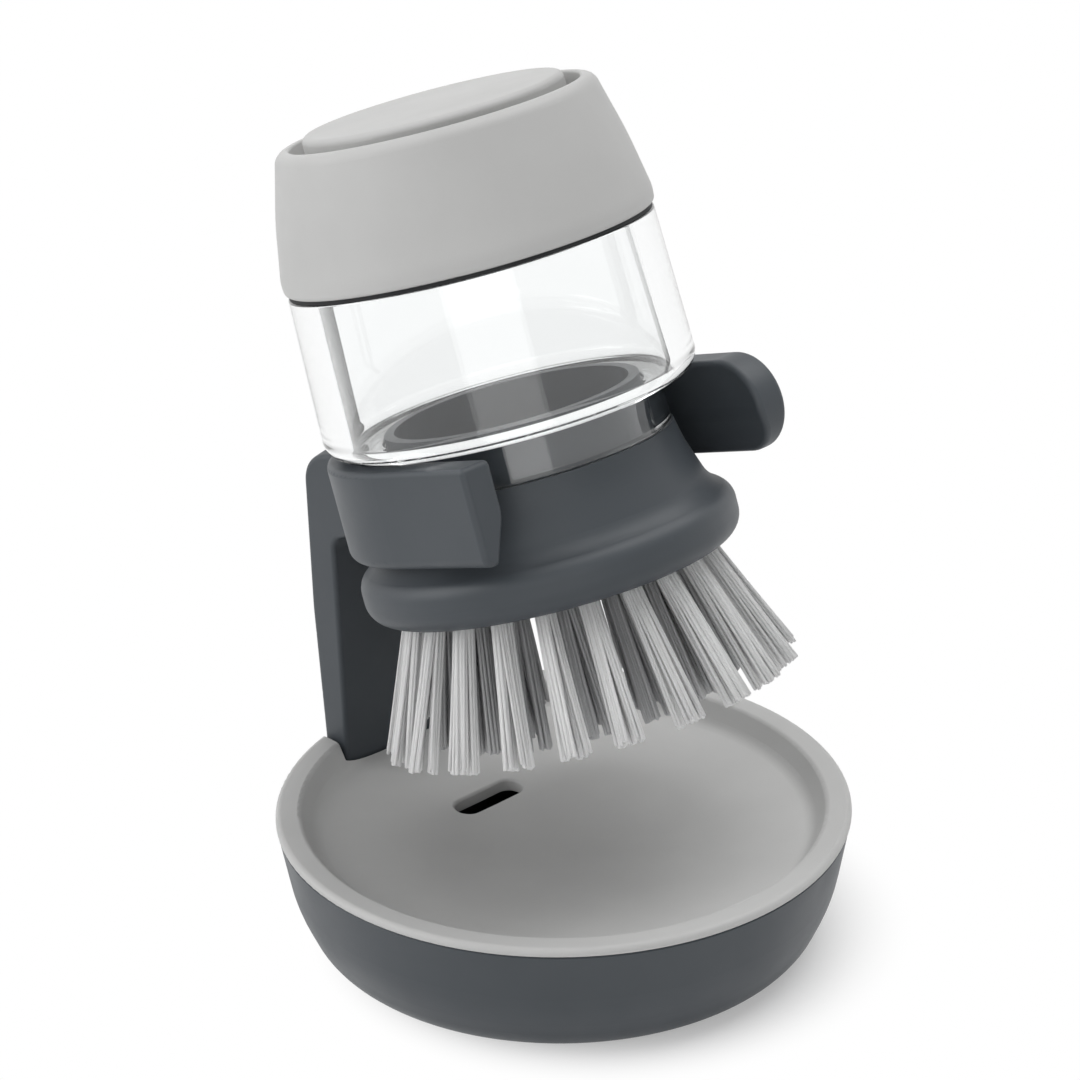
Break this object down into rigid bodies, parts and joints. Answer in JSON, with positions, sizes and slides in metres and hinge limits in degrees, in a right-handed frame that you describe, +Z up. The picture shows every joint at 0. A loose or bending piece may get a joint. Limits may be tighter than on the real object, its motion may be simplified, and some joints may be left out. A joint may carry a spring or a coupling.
{
  "type": "soap-dispensing dish brush with stand",
  "caption": "Palm-held dish brush with a push button, clear soap reservoir and splayed nylon tufts, parked at a lean in a forked stand over a drip tray.",
  "frame": {"origin": "middle of the foot pad's face, on the surface that the stand rests on", "axes": "+Z up, the post stands at +Y and the fork opens towards -Y, +X to the right seen from the fork's mouth"},
  "size_m": [0.09, 0.0938, 0.1386],
  "materials": {
    "slate_plastic": "fine matte moulded texture",
    "light_grey_plastic": "satin soft-touch texture",
    "clear_plastic": "clear, polished",
    "inner_white_plastic": "plain moulded",
    "silicone": "translucent matte silicone",
    "dark_rubber": "matte black rubber",
    "bristle_nylon": "satin white filament",
    "steel_wire": "drawn stainless wire"
  },
  "bodies": {
    "stand": {"base_bowl": "slate_plastic", "foot_pad": "dark_rubber", "cradle_upright": "slate_plastic"},
    "tray": {"drip_tray": "light_grey_plastic"},
    "brush": {"reservoir": "clear_plastic"},
    "gasket": {"cap_gasket": "dark_rubber"},
    "cap": {"cap_shell": "light_grey_plastic", "diaphragm_retainer": "inner_white_plastic", "pump_diaphragm": "silicone", "button_spring": "steel_wire"},
    "button": {"push_button": "light_grey_plastic"},
    "seal": {"neck_seal": "silicone"},
    "head": {"brush_head": "slate_plastic", "tuft_plate": "slate_plastic", "dispensing_valve": "silicone", "valve_retainer": "inner_white_plastic", "tufts_outer": "bristle_nylon", "tufts_middle": "bristle_nylon", "tufts_inner": "bristle_nylon", "tuft_anchors_outer": "steel_wire", "tuft_anchors_middle": "steel_wire", "tuft_anchors_inner": "steel_wire"}
  },
  "joints": [
    {"name": "brush_slide", "type": "slide", "parent": "stand", "child": "brush", "axis": [0, -0.9397, 0.342], "range_m": [0, 0.08]},
    {"name": "tray_lift", "type": "slide", "parent": "stand", "child": "tray", "axis": [0, 0, 1], "range_m": [0, 0.008]},
    {"name": "cap_lift", "type": "slide", "parent": "brush", "child": "gasket", "axis": [0, 0.342, 0.9397], "range_m": [0, 0.0033]},
    {"name": "cap_turn", "type": "hinge", "parent": "gasket", "child": "cap", "pos_m": [0, 0.0095, 0.086], "axis": [0, 0.342, 0.9397], "range_deg": [0, 120]},
    {"name": "button_press", "type": "slide", "parent": "cap", "child": "button", "axis": [0, -0.342, -0.9397], "range_m": [0, 0.004], "stiffness_N_per_m": 500, "springref_m": -0.004, "deforming": ["button_spring", "pump_diaphragm"]},
    {"name": "head_lift", "type": "slide", "parent": "brush", "child": "seal", "axis": [0, -0.342, -0.9397], "range_m": [0, 0.0031]},
    {"name": "head_turn", "type": "hinge", "parent": "seal", "child": "head", "pos_m": [0, 0.0095, 0.086], "axis": [0, -0.342, -0.9397], "range_deg": [0, 120]}
  ],
  "couplings": [
    {"joint": "cap_lift", "follows": "cap_turn", "m_per_rad": 0.0015279},
    {"joint": "head_lift", "follows": "head_turn", "m_per_rad": 0.0014324}
  ]
}
